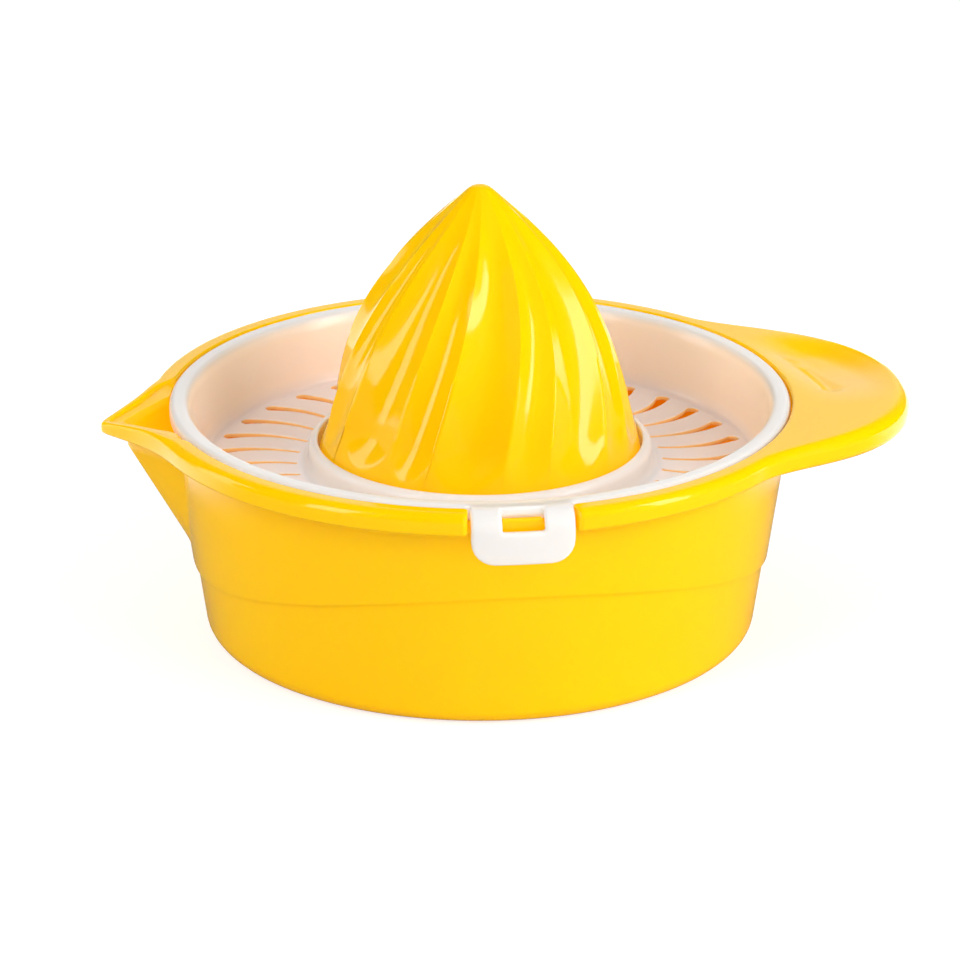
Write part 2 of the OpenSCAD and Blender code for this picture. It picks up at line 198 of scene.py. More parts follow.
@dataclass
class Shell:
    """Points in millimetres and faces of a form that is being made."""

    points: Array
    faces: list[tuple[int, ...]]

    @classmethod
    def from_grid(
        cls, grid: Array, round_u: bool = False, round_v: bool = False, capped: bool = False
    ) -> "Shell":
        """Skin a grid of points.

        Args:
            grid: (u, v, 3) points.
            round_u: Join the last row to the first.
            round_v: Join the last point of each row to its first.
            capped: Close the first and the last row with a face each.

        Returns:
            A shell of quads, and of the caps.
        """
        nu, nv = grid.shape[:2]
        u, v = np.meshgrid(np.arange(nu - (not round_u)), np.arange(nv - (not round_v)), indexing="ij")
        u1, v1 = (u + 1) % nu, (v + 1) % nv
        quads = np.stack([u * nv + v, u1 * nv + v, u1 * nv + v1, u * nv + v1], axis=-1).reshape(-1, 4)
        faces = [tuple(q) for q in quads.tolist()]
        if capped:
            faces += [tuple(range(nv))[::-1], tuple(range((nu - 1) * nv, nu * nv))]
        return cls(grid.reshape(-1, 3), faces)

    @classmethod
    def from_mesh(cls, mesh: bpy.types.Mesh) -> "Shell":
        """Read a mesh back into millimetres."""
        points = np.array([v.co[:] for v in mesh.vertices]) / MM
        return cls(points, [tuple(p.vertices) for p in mesh.polygons])

    def outward(self) -> "Shell":
        """Turn a closed shell's faces so that they point out of it."""
        volume = 0.0
        for face in self.faces:
            fan = self.points[list(face)]
            for k in range(1, len(fan) - 1):
                volume += float(np.dot(fan[0], np.cross(fan[k], fan[k + 1])))
        if volume < 0:
            self.faces = [face[::-1] for face in self.faces]
        return self

    def plus(self, *others: "Shell") -> "Shell":
        """Put other shells beside this one."""
        points, faces = [self.points], list(self.faces)
        for other in others:
            base = sum(len(p) for p in points)
            points.append(other.points)
            faces += [tuple(base + i for i in face) for face in other.faces]
        return Shell(np.concatenate(points), faces)

    def mesh(self, name: str, sharp: float = 40.0) -> bpy.types.Mesh:
        """Make a welded, smoothly shaded mesh in metres.

        Args:
            name: Name of the mesh.
            sharp: Edges that turn by more than this many degrees stay sharp.

        Returns:
            The mesh.
        """
        mesh = bpy.data.meshes.new(name)
        mesh.from_pydata((self.points * MM).tolist(), [], self.faces)
        form = bmesh.new()
        form.from_mesh(mesh)
        bmesh.ops.remove_doubles(form, verts=form.verts, dist=WELD_M)
        bmesh.ops.dissolve_degenerate(form, dist=WELD_M / 4, edges=form.edges)
        form.to_mesh(mesh)
        form.free()
        mesh.shade_smooth()
        mesh.set_sharp_from_angle(angle=math.radians(sharp))
        return mesh


@dataclass(frozen=True)
class MouldedPlastic:
    """A gloss injection moulding: even colour, faint flow marks, a little orange peel, glow in thin walls,
    and a painted glow where a piece close behind lights a thin wall.

    Attributes:
        name: Common name of the plastic and how it was made.
        slot: Material slot of the record; not used.
        colour: Main colour. All colours are sRGB hex.
        flow: Colour of the faint flow marks.
        deep: Painted glow: colour painted on the basin's wall for the light of the piece close behind that
            comes through a thin wall, or the main colour.
        roughness: Middle of the roughness, which strays from it by rough_span.
        glow: Share of light that scatters inside, where red, green and blue travel as far as glow_mm.
        flow_mm: Size of the flow marks. Likewise cloud_mm for roughness and peel_mm for the orange peel.
        floor: Painted glow on the basin's floor, which stands further from the piece behind it.
        painted_slot_glow: Painted glow on the slots' sides, for the light out of the bowl that fills them.
        inside_r_mm: Radii between which the painted glow in the basin sets in. Likewise the heights and
            radii after it.
    """

    name: str
    slot: str
    colour: str
    flow: str
    deep: str
    roughness: float
    rough_span: float
    ior: float
    glow: float
    glow_mm: tuple[float, float, float]
    flow_mm: float = 38.0
    cloud_mm: float = 9.0
    peel_mm: float = 2.2
    peel_depth_mm: float = 0.004
    # Painted glow of the bowl's light on the basin's floor and on the slots' sides
    floor: str = "#eadfd9"
    painted_slot_glow: str = "#ffd28c"
    inside_r_mm: Pair = (67.0, 66.2)
    inside_z_mm: Pair = (54.0, 52.6)
    collar_r_mm: Pair = (40.2, 41.6)
    floor_z_mm: Pair = (41.5, 38.6)
    slot_z_mm: Pair = (38.36, 38.2)

    def material(self) -> bpy.types.Material:
        """Build the material's node tree.

        Returns:
            The material.
        """
        material = bpy.data.materials.new(self.name)
        material.use_nodes = True
        tree = material.node_tree
        tree.nodes.clear()
        add = partial(add_node, tree)
        place = add("ShaderNodeTexCoord").outputs["Object"]
        flow, cloud, peel = (
            add("ShaderNodeTexNoise", {"Vector": place, "Scale": 1 / (size * MM), **kind})
            for size, kind in (
                (self.flow_mm, {"Detail": 3.0, "Distortion": 0.6}),
                (self.cloud_mm, {"Detail": 2.0}),
                (self.peel_mm, {"Detail": 1.0}),
            )
        )
        ends = {"A": linear(self.colour), "B": linear(self.flow)}
        colour = add("ShaderNodeMix", {"Factor": flow, **ends}, data_type="RGBA")
        ends = {"To Min": self.roughness - self.rough_span, "To Max": self.roughness + self.rough_span}
        rough = add("ShaderNodeMapRange", {"Value": cloud, "From Min": 0.3, "From Max": 0.7, **ends})
        bump = add("ShaderNodeBump", {"Height": peel, "Strength": 1.0, "Distance": self.peel_depth_mm * MM})
        shader = add(
            "ShaderNodeBsdfPrincipled",
            {
                "Base Color": self.painted_bowl_glow(add, place, colour),
                "Roughness": rough,
                "Normal": bump,
                "IOR": self.ior,
                "Subsurface Weight": self.glow,
                "Subsurface Radius": self.glow_mm,
                "Subsurface Scale": MM,
            },
        )
        add("ShaderNodeOutputMaterial", {"Surface": shader})
        return material

    def painted_bowl_glow(self, add: Adder, place: Any, colour: Any) -> Any:
        """Paint the bowl's glow into the colour inside the basin: a warm tint stands in for the light from
        the bowl close behind that comes through the thin wall.

        Args:
            add: Adds a node to the material's tree.
            place: Object coordinates.
            colour: Node with the colour of the plastic itself.

        Returns:
            The node of the resulting colour.
        """
        if self.deep == self.colour:
            return colour
        parts = add("ShaderNodeSeparateXYZ", {"Vector": place}).outputs
        plan = add("ShaderNodeCombineXYZ", {"X": parts["X"], "Y": parts["Y"]})
        radius = add("ShaderNodeVectorMath", {0: plan}, operation="LENGTH")
        within, below, beyond, flat, under = (
            add("ShaderNodeMapRange", {"Value": measure, "From Min": start * MM, "From Max": end * MM})
            for measure, (start, end) in (
                (radius, self.inside_r_mm),
                (parts["Z"], self.inside_z_mm),
                (radius, self.collar_r_mm),
                (parts["Z"], self.floor_z_mm),
                (parts["Z"], self.slot_z_mm),
            )
        )
        # Painted glow mask: the basin's wall and floor out from the collar, and the slots' sides under the
        # floor's top
        share = beyond
        for other, way in ((under, "MAXIMUM"), (within, "MULTIPLY"), (below, "MULTIPLY")):
            share = add("ShaderNodeMath", {0: share, 1: other}, operation=way)
        ends = {"A": linear(self.deep), "B": linear(self.floor)}
        painted_glow = add("ShaderNodeMix", {"Factor": flat, **ends}, data_type="RGBA")
        # Painted glow: a warm tint on the basin's wall and floor, then a deeper orange on the slots' sides
        # for the bowl's light that fills them
        for factor, tint in ((share, painted_glow), (under, linear(self.painted_slot_glow))):
            colour = add("ShaderNodeMix", {"Factor": factor, "A": colour, "B": tint}, data_type="RGBA")
        return colour


# Gloss ABS: deep, clean colour and long soft highlights
YELLOW = MouldedPlastic(
    name="Moulded ABS yellow",
    slot="yellow_plastic",
    colour="#ffc800",
    flow="#ffc300",
    deep="#ffc800",
    roughness=0.1,
    rough_span=0.02,
    ior=1.37,
    glow=0.25,
    glow_mm=(4.0, 1.8, 0.15),
)

# Polypropylene: milky white, a softer gloss, and a painted warm glow inside the basin for the bowl's light
# that comes through its thin walls
WHITE = MouldedPlastic(
    name="Moulded PP white",
    slot="white_plastic",
    colour="#e3e1de",
    flow="#dfddda",
    # Painted glow: warm tint on the basin's wall for the bowl's light coming through it
    deep="#f6e6d4",
    roughness=0.2,
    rough_span=0.03,
    ior=1.46,
    glow=0.6,
    glow_mm=(2.5, 2.2, 1.9),
)


class TurnedCopies:
    """Geometry Nodes that set turned copies of a sector round the upright axis, and weld and twist them."""

    def __init__(self) -> None:
        """Build the node tree once, with named inputs for its sizes."""
        self.tree = tree = bpy.data.node_groups.new("Turned copies", "GeometryNodeTree")
        for name, kind in (
            ("Sector", "NodeSocketGeometry"),
            ("Copies", "NodeSocketInt"),
            ("Twist per Metre", "NodeSocketFloat"),
            ("Foot Height", "NodeSocketFloat"),
            ("Weld Distance", "NodeSocketFloat"),
            ("Material", "NodeSocketMaterial"),
        ):
            tree.interface.new_socket(name, in_out="INPUT", socket_type=kind)
        tree.interface.new_socket("Form", in_out="OUTPUT", socket_type="NodeSocketGeometry")
        add = partial(add_node, tree)
        given = add("NodeGroupInput").outputs
        points = add("GeometryNodeMeshLine", {"Count": given["Copies"], "Offset": (0.0, 0.0, 0.0)})
        step = add("ShaderNodeMath", {0: math.tau, 1: given["Copies"]}, operation="DIVIDE")
        number = add("GeometryNodeInputIndex")
        turn = add("ShaderNodeMath", {0: number, 1: step}, operation="MULTIPLY")
        euler = add("ShaderNodeCombineXYZ", {"Z": turn})
        spin = add("FunctionNodeEulerToRotation", {"Euler": euler})
        copy = {"Points": points, "Instance": given["Sector"], "Rotation": spin}
        form = add("GeometryNodeInstanceOnPoints", copy)
        form = add("GeometryNodeRealizeInstances", {"Geometry": form})
        form = add("GeometryNodeMergeByDistance", {"Geometry": form, "Distance": given["Weld Distance"]})
        place = add("GeometryNodeInputPosition")
        height = add("ShaderNodeSeparateXYZ", {"Vector": place}).outputs["Z"]
        rise = add("ShaderNodeMath", {0: height, 1: given["Foot Height"]}, operation="SUBTRACT")
        angle = add("ShaderNodeMath", {0: rise, 1: given["Twist per Metre"]}, operation="MULTIPLY")
        twisted = add("ShaderNodeVectorRotate", {"Vector": place, "Angle": angle}, rotation_type="Z_AXIS")
        form = add("GeometryNodeSetPosition", {"Geometry": form, "Position": twisted})
        form = add("GeometryNodeSetMaterial", {"Geometry": form, "Material": given["Material"]})
        add("NodeGroupOutput", {"Form": form})

    def form(
        self, sector: Shell, copies: int, material: bpy.types.Material, twist: float = 0.0, foot: float = 0.0
    ) -> Shell:
        """Set copies of a sector round the axis.

        Args:
            sector: One sector, open at its sides.
            copies: Number of copies in a full turn.
            material: Material of the form.
            twist: Degrees of twist per millimetre of height.
            foot: Height in millimetres at which the twist starts.

        Returns:
            The welded form.
        """
        holder = bpy.data.objects.new("sector", sector.mesh("sector"))
        bpy.context.scene.collection.objects.link(holder)
        modifier = holder.modifiers.new("Copies", "NODES")
        modifier.node_group = self.tree
        values = {
            "Copies": copies,
            "Twist per Metre": math.radians(twist) / MM,
            "Foot Height": foot * MM,
            "Weld Distance": WELD_M,
            "Material": material,
        }
        for item in self.tree.interface.items_tree:
            if item.name in values:
                modifier[item.identifier] = values[item.name]
        bpy.context.view_layer.update()
        evaluated = holder.evaluated_get(bpy.context.evaluated_depsgraph_get())
        result = bpy.data.meshes.new_from_object(evaluated)
        shell = Shell.from_mesh(result)
        bpy.data.objects.remove(holder)
        bpy.data.meshes.remove(result)
        return shell


def make_piece(name: str, mesh: bpy.types.Mesh, body: Body, material: Any) -> Any:
    """Turn a mesh into a piece that rides on a body and stands for that body's node.

    Args:
        name: Name of the piece.
        mesh: Its mesh, in place.
        body: The body that it rides on.
        material: The finish's material.

    Returns:
        The piece's object.
    """
    mesh.materials.clear()
    mesh.materials.append(material)
    piece = bpy.data.objects.new(name, mesh)
    bpy.context.scene.collection.objects.link(piece)
    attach(piece, body.value)
    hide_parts(body.value)
    LOG.info("%s: %d faces on %s", name, len(mesh.polygons), body.value)
    return piece


@dataclass
class Bowl:
    """The pouring bowl: wall, rim bead, spout and handle in one moulding. Millimetres and degrees."""

    rim_z: float = 54.0
    rim_r: float = 75.0
    rim_t: float = 5.0
    rim_round: float = 2.2
    rim_heel: float = 0.8
    crown_share: float = 0.46
    root_share: float = 0.7
    root_round: Pair = (0.3, 3.2)
    seat_r: float = 70.4
    seat_z: float = 50.7
    mouth_r: float = 67.7
    foot_r: float = 62.8
    foot_round: float = 4.0
    wall: float = 2.2
    floor_t: float = 2.6
    floor_rings: tuple[float, ...] = (0.0, 18.0, 36.0, 50.0)
    wall_from_to: Pair = (9.0, 48.6)
    step_side_z: float = 17.3
    step_front_z: float = 31.7
    step_deep: float = 0.8
    step_faint: float = 0.55
    spout_reach: float = 10.5
    spout_spread: float = 18.0
    spout_nose: float = 0.8
    spout_ease: float = 2.4
    spout_drop: float = 2.2
    spout_lip: float = 2.6
    spout_heel: float = 0.6
    lip_w: float = 2.2
    lip_plain: float = 0.65
    lip_edge: Pair = (0.45, 0.85)
    lip_share: float = 0.35
    channel_slope: Pair = (1.3, 0.63)
    channel_wall: float = 2.4
    keel_z: float = 22.4
    keel_reach: float = 13.6
    keel_spread: float = 12.6
    keel_ease: float = 0.57
    keel_crease: float = 0.35
    handle_reach: float = 22.6
    handle_spread: float = 42.0
    handle_ease: float = 1.25
    handle_t: float = 6.8
    handle_round: float = 3.3
    handle_heel: float = 2.4
    plate_t: float = 3.4
    core_from: float = 1.5
    core_run: float = 3.0
    valley: tuple[Pair, Pair] = ((72.2, 34.5), (80.4, -6.0))
    valley_bow: float = 1.0
    rest_from_x: float = 60.0
    rest_depth: float = 2.4
    rest_edge: float = 0.8
    rest_run: float = 9.0
    rest_beside: Pair = (-9.0, 3.0)
    rest_start: float = 0.35
    rest_end: Pair = (1.25, 0.45)
    groove: Pair = (0.5, 0.92)
    groove_depth: float = 0.75
    groove_w: float = 1.9
    groove_tail: float = 0.3
    notch_half: float = 9.3
    notch_r: float = 72.3
    notch_round: float = 1.1
    notch_fall: float = 0.4
    notch_crown: float = 0.25
    notch_heel: float = 0.2
    sill_half: float = 3.4
    sill_z: float = 51.8
    handle_zone: float = 46.0
    spout_zone: float = 22.0
    notch_zone: float = 13.0

    def wall_r(self, z: Any) -> Any:
        """Outer radius of the plain wall at a height."""
        return self.foot_r + (self.mouth_r + self.wall - self.foot_r) * z / (self.rim_z - self.rim_t)

    def handle_share(self, a: Array) -> Array:
        """How far the handle reaches in a direction, from 0 to 1."""
        off = np.abs((a + 180.0) % 360.0 - 180.0) / self.handle_spread
        return np.where(off < 1.0, np.cos(np.pi / 2 * np.minimum(off, 1.0) ** self.handle_ease) ** 2, 0.0)

    def spout_off(self, a: Array) -> Array:
        """Degrees from the spout's middle, rounded off at its nose."""
        off = a % 360.0 - 180.0
        return np.sqrt(off**2 + self.spout_nose**2) - self.spout_nose

    def spout_share(self, a: Array) -> Array:
        """How far the spout reaches in a direction, from 0 to 1."""
        return np.clip(1.0 - self.spout_off(a) / self.spout_spread, 0.0, 1.0) ** self.spout_ease

    def outer_r(self, z: Array, a: Array) -> Array:
        """Outer radius of the wall, with the spout's keel, whose straight sides meet the wall in a crease.

        Args:
            z: Heights.
            a: Directions.

        Returns:
            Radii.
        """
        plain = self.wall_r(z)
        t = np.clip((z - self.keel_z) / (self.rim_z - self.keel_z), 1e-3, 1.0)
        crease = np.radians(self.keel_spread * t**self.keel_ease)
        edge = plain + self.keel_reach * t
        along, across = edge - plain * np.cos(crease), plain * np.sin(crease)
        off = np.radians(self.spout_off(a))
        near = np.minimum(off, crease)
        side = edge * across / (np.cos(near) * across + np.sin(near) * along)
        rise = side - plain - plain * (off - near)
        return plain + 0.5 * (rise + np.sqrt(rise**2 + (self.keel_crease * t) ** 2))

    def columns(self) -> Array:
        """Directions of the columns, close together where the rim changes fast."""
        handle = np.arange(-self.handle_zone, self.handle_zone + HAIR, 0.5)
        t = np.arange(-64, 65) / 64
        spout = 180.0 + self.spout_zone * np.sign(t) * np.abs(t) ** 1.25
        edge = [-0.02, 0.0, 0.05, 0.12, 0.22, 0.36, 0.54, 0.74, 0.95, 1.4, 2.2, 3.4]
        edge = self.notch_half + np.array(edge)
        sill = self.sill_half * np.array([-1.0, -0.5, 0.0, 0.5, 1.0])
        notch = np.concatenate([edge, -edge, sill, sill * 1.02, np.linspace(-8.0, 8.0, 9)])
        plain = np.arange(0.0, 360.0, 1.5)
        zones = (0.0, self.handle_zone + 0.5), (180.0, self.spout_zone + 0.5)
        for middle, half in (*zones, (90.0, self.notch_zone), (270.0, self.notch_zone)):
            plain = plain[np.abs((plain - middle + 180.0) % 360.0 - 180.0) > half]
        every = np.sort(np.concatenate([handle, spout, 90.0 + notch, 270.0 + notch, plain]) % 360.0)
        return every[np.concatenate([[True], np.diff(every) > 0.005])]

    def section(self, degrees: Array) -> Array:
        """Upright section of the bowl in each direction.

        Args:
            degrees: The columns' directions.

        Returns:
            (columns, points, 2) radii and heights, from the middle of the floor over the rim to the base.
        """
        a = degrees[:, None]
        hand, pour = self.handle_share(a), self.spout_share(a)
        off = np.abs(a % 180.0 - 90.0)
        cut = off < self.notch_half - HAIR
        end = np.clip(np.radians(off - self.notch_half) * self.rim_r, 0.0, self.notch_round)
        soft = np.sqrt(np.maximum(self.notch_round**2 - (self.notch_round - end) ** 2, 0.0))
        soft = self.notch_round - soft
        rim = self.rim_r + self.handle_reach * hand + self.spout_reach * pour - soft
        rim = np.where(cut, self.notch_r, rim)
        sill = np.where(off < self.sill_half + HAIR, self.sill_z, self.seat_z)
        level = self.rim_z - self.spout_drop * pour
        top = np.where(cut, sill, level - self.notch_fall * soft)
        thick = self.rim_t + (self.handle_t - self.rim_t) * hand - (self.rim_t - self.spout_lip) * pour
        low = np.where(cut, self.rim_z - self.rim_t, level - thick)

        # Inner side: floor, wall, ledge and the strainer's recess, with the spout's channel cut into them
        lean = math.atan(self.wall_r(1.0) - self.foot_r)
        back = self.foot_round * (1 - math.sin(lean)) / math.cos(lean)
        lean = math.degrees(lean)
        inset = self.wall + self.step_deep
        floor = run(self.floor_rings, self.floor_t)
        bend_at = (self.wall_r(self.floor_t) - inset - back, self.floor_t + self.foot_round)
        bend = arc(bend_at, self.foot_round, -90.0, -lean, 7)
        levels = np.linspace(*self.wall_from_to, 15)
        ledge_r = [self.mouth_r - 0.35, self.mouth_r, self.mouth_r + 0.25, self.seat_r - 0.3]
        inside_r = np.concatenate([self.wall_r(levels) - inset, ledge_r, [self.seat_r] * 3])
        inside_z = np.concatenate([levels, self.seat_z + np.array([-0.9, -0.2, 0.0, 0.0, 0.3, 1.1, 1.9])])
        aside = np.abs(a % 360.0 - 180.0) / self.spout_spread
        away = ease((aside - self.lip_plain) / (1.0 - self.lip_plain))
        lip = self.lip_w + (self.rim_r - self.seat_r - self.lip_w) * away
        brim = np.where(aside < 1.0, rim - lip, self.seat_r)
        slim, full = self.lip_edge
        edge = np.minimum(full - (full - slim) * away, (top - self.seat_z) * self.lip_share)
        steep, gentle = self.channel_slope
        slope = steep - (steep - gentle) * np.sqrt(pour)
        tall = np.minimum(inside_z, top - edge)
        channel = np.minimum(brim - (top - edge - tall) * slope, self.outer_r(tall, a) - self.channel_wall)
        inner = run(np.maximum(inside_r, np.where(aside < 1.0, channel, 0.0)), tall)
        out, up = np.array([[0.0, 0.12, 0.5, 1.0], [0.0, 0.5, 0.88, 1.0]])[:, None]
        mouth = run(brim + edge * out, top - edge * (1 - up))

        # Rim: its top, its rounded edge and its underside, which is cored out under the handle
        crown = self.rim_round + (self.handle_round - self.rim_round) * hand
        crown = np.where(cut, self.notch_crown, np.minimum(crown, self.crown_share * (rim - brim)))
        heel = (self.handle_heel - self.rim_heel) * hand + (self.spout_heel - self.rim_heel) * pour
        heel = np.where(cut, self.notch_heel, self.rim_heel + heel)
        first = brim + edge
        face = run(first + (rim - crown - first) * np.linspace(0.0, 1.0, 34)[1:], top)
        crest = arc((rim - crown, top - crown), crown, 90.0, 0.0, 8)[:, 1:]
        band = run(rim, top - crown + (low + heel - top + crown) * np.array([0.35, 0.7]))
        under = arc((rim - heel, low + heel), heel, 0.0, -90.0, 5)
        reach = rim - heel
        fillet = np.clip(self.root_share * (reach - self.outer_r(low - 2.0, a)), *self.root_round)
        start = low - fillet
        root = self.outer_r(start, a) + fillet
        skirt, hub = rim - self.wall, self.rim_r + self.wall
        core = ease((skirt - hub - self.core_from) / self.core_run) * (self.rim_z - self.plate_t - low)
        inward = np.array([0.05, 0.3, 0.6, 3.0])
        stops = [skirt - inward, 0.5 * (skirt + hub), 0 * rim + hub + inward[::-1], root]
        stops = np.minimum.accumulate(np.clip(np.concatenate(stops, axis=1), root, reach), axis=1)
        belly = run(stops, low + core * np.array([0.0, 0.85, 1.0, 1.0, 1.0, 1.0, 1.0, 0.85, 0.0, 0.0]))
        corner = arc((root, start), fillet, 90.0, 180.0, 7)[:, 1:]

        # Outside: wall, arched step, lower band and foot
        step_z, step = self.step_height(a), self.step_depth(a)
        wall_z = start + (step_z + 0.4 - start) * np.linspace(0.0, 1.0, 20)[1:]
        side = run(self.outer_r(wall_z, a), wall_z)
        into, up = np.array([[0.04, 0.9, 1.0], [0.12, -0.06, -0.3]])[:, None]
        ledge = run(self.outer_r(step_z, a) - step * into, step_z + up)
        band_z = step_z - 0.3 + (self.foot_round + 0.2 - step_z + 0.3) * np.linspace(0.0, 1.0, 12)[1:]
        skin = run(self.wall_r(band_z) - step, band_z)
        foot = arc((self.foot_r - step - back, self.foot_round), self.foot_round, -lean, -90.0, 8)
        base = run(self.floor_rings[::-1], 0.0)
        inside = (floor, bend, inner, mouth, face, crest, band, under)
        return joined(len(degrees), *inside, belly, corner, side, ledge, skin, foot, base)

    def step_height(self, a: Array) -> Array:
        """Height of the arched step: low under the handle and spout, high under the finger tabs."""
        rise = self.step_front_z - self.step_side_z
        side = self.wall_r(self.step_front_z)
        scoop = (side**2 + rise**2) / (2 * rise)
        return self.step_side_z + scoop - np.sqrt(scoop**2 - (side * np.sin(np.radians(a))) ** 2)

    def step_depth(self, a: Array) -> Array:
        """Depth of the step, which runs out into a faint crease under the finger tabs."""
        return self.step_faint + (self.step_deep - self.step_faint) * np.cos(np.radians(a)) ** 2

    def thumb_rest(self, x: Array, y: Array, margin: Array) -> Array:
        """Depth of the thumb rest in the handle's top at a place.

        Its floor falls from the handle's far edge to a valley, whose near end is a short groove.

        Args:
            x: Places along the handle.
            y: Places across it.
            margin: Distances from the handle's edge.

        Returns:
            Depths below the top.
        """
        (from_x, from_y), (to_x, to_y) = self.valley
        length = math.hypot(to_x - from_x, to_y - from_y)
        way_x, way_y = (to_x - from_x) / length, (to_y - from_y) / length
        along = ((x - from_x) * way_x + (y - from_y) * way_y) / length
        bow = self.valley_bow * 4.0 * along * (1.0 - along)
        beside = (y - from_y) * way_x - (x - from_x) * way_y - bow
        last, whole = self.rest_end
        ends = ease(along / self.rest_start) * ease((last - along) / (last - whole))
        near, far = self.rest_beside
        slope = ease((margin - self.rest_edge) / self.rest_run) * ease((beside - near) / (far - near))
        tail, head = self.groove
        swell = np.clip((along - tail) / (head - tail), 0.0, 1.0)
        swell = self.groove_tail + (1.0 - self.groove_tail) * swell
        past = length * (along - np.clip(along, tail, head))
        drop = swell * np.exp(-(beside**2 + past**2) / (self.groove_w * swell) ** 2)
        return self.rest_depth * ends * slope + self.groove_depth * drop

    def build(self) -> Shell:
        """Build the bowl's closed skin."""
        degrees = self.columns()
        grid = turned_out(self.section(degrees), degrees)
        x, y, z = grid[..., 0], grid[..., 1], grid[..., 2]
        outline = self.rim_r + self.handle_reach * self.handle_share(degrees)[:, None]
        on_top = (z > self.rim_z - HAIR) & (x > self.rest_from_x)
        grid[..., 2] = np.where(on_top, z - self.thumb_rest(x, y, outline - np.hypot(x, y)), z)
        return Shell.from_grid(grid, round_u=True).outward()


@dataclass
class Strainer:
    """The strainer: ring, basin, slotted floor, collar, hub and finger tabs. Millimetres and degrees."""

    ring_z: float = 54.2
    ring_r: float = 70.0
    ring_w: float = 4.3
    ring_t: float = 3.2
    ring_round: float = 1.4
    basin_d: float = 15.8
    basin_lean: float = 2.8
    basin_fillet: float = 1.5
    plate_lift: float = 2.0
    plate_rings: tuple[float, ...] = (30.0, 15.0, 0.0)
    sieve_t: float = 1.1
    collar_in: float = 36.7
    collar_w: float = 2.1
    collar_lip: float = 0.35
    collar_heel: float = 0.5
    collar_h: float = 5.8
    collar_flare: float = 2.0
    hub_r: float = 27.0
    hub_h: float = 10.0
    hub_wall: float = 2.0
    hub_round: float = 0.6
    key_slot_w: float = 4.6
    slot_count: int = 36
    slot_w: float = 3.4
    slot_w_inner: float = 1.1
    slot_swirl: float = 8.0
    slot_back: float = 6.0
    slot_phase: float = 5.0
    slot_from: float = 41.35
    slot_to: float = 59.3
    slot_edge: float = 0.15
    tab_w: float = 22.4
    tab_h: float = 11.6
    tab_t: float = 2.2
    tab_r: float = 75.6
    tab_bend: float = 4.5
    tab_corner: float = 5.0
    tab_root: float = 2.0
    tab_round: float = 0.75
    window_w: float = 9.2
    window_top_r: float = 71.1
    window_low: float = 4.3
    window_corner: float = 0.7

    def __post_init__(self) -> None:
        """Work out the radii and heights that follow from the sizes."""
        self.basin_r = self.ring_r - self.ring_w
        self.sieve_r = self.basin_r - self.basin_lean
        self.sieve_z = self.ring_z - self.basin_d
        self.under_z = self.sieve_z - self.sieve_t
        self.plate_z = self.sieve_z + self.plate_lift
        self.collar_r = self.collar_in + self.collar_w
        self.slots_in = self.collar_r + self.collar_flare + 0.1
        self.slots_out = self.sieve_r - self.basin_fillet - 0.05

    def inner_section(self) -> Array:
        """Section of the middle plate and the collar, from under the slots to above them."""
        lip, bulge, heel = self.collar_lip, self.collar_w - self.collar_lip, self.collar_heel
        crown = self.sieve_z + self.collar_h
        deck = self.plate_z - self.sieve_t
        below_r = [self.slots_in, self.collar_r, self.collar_in, *self.plate_rings]
        above_r = [*self.plate_rings[::-1], self.collar_in - heel]
        plate = run(below_r + above_r, [self.under_z] * 2 + [deck] * 4 + [self.plate_z] * 4)
        inner = arc((self.collar_in - heel, self.plate_z + heel), heel, -80.0, 0.0, 4)
        rise = run(self.collar_in, [crown - 2.0, crown - 1.0])
        brow = arc((self.collar_in + lip, crown - lip), lip, 180.0, 90.0, 5)
        bead = arc((self.collar_r - bulge, crown - bulge), bulge, 90.0, 0.0, 9)[:, 1:]
        side = run(self.collar_r, [crown - bulge - 0.6, self.sieve_z + self.collar_flare + 0.3])
        hollow = (self.collar_r + self.collar_flare, self.sieve_z + self.collar_flare)
        toe = arc(hollow, self.collar_flare, 180.0, 268.0, 10)
        return joined(1, plate, inner, rise, brow, bead, side, toe, run([self.slots_in], self.sieve_z))

    def outer_section(self, degrees: Array) -> Array:
        """Section of the basin's wall and the ring, from above the slots to under them.

        Args:
            degrees: The columns' directions.

        Returns:
            (columns, points, 2) radii and heights.
        """
        lean = math.degrees(math.atan(self.basin_lean / self.basin_d))
        start = run([self.slots_out], self.sieve_z)
        toe = self.basin_fillet
        fillet = arc((self.sieve_r - toe, self.sieve_z + toe), toe, -90.0, -lean, 6)
        wall_z = np.linspace(self.sieve_z + 2.4, self.ring_z - 1.6, 9)
        wall = run(self.sieve_r + self.basin_lean * (wall_z - self.sieve_z) / self.basin_d, wall_z)
        soft = self.ring_round
        inner = arc((self.basin_r + soft, self.ring_z - soft), soft, 180.0 - lean, 90.0, 7)
        off = np.abs(degrees % 180.0 - 90.0)[:, None]
        half = math.degrees(math.asin(self.tab_w / 2 / self.ring_r))
        corner = np.where(off < half, 0.02, soft)
        crest = arc((self.ring_r - corner, self.ring_z - corner), corner, 90.0, 0.0, 7)
        shelf_z = self.ring_z - self.ring_t
        shelf_r = self.basin_r - self.basin_lean * self.ring_t / self.basin_d + self.sieve_t
        under = run(
            [self.ring_r, self.ring_r - 0.25, shelf_r + 0.5, shelf_r, self.sieve_r + self.sieve_t + 0.1],
            [shelf_z + 0.25, shelf_z, shelf_z, shelf_z - 0.5, self.sieve_z + 0.4],
        )
        tail_z = [self.sieve_z - 0.9, self.under_z + 0.1, self.under_z]
        tail = run([self.sieve_r + 1.3, self.sieve_r + 0.4, self.slots_out], tail_z)
        return joined(len(degrees), start, fillet, wall, inner, crest, under, tail)

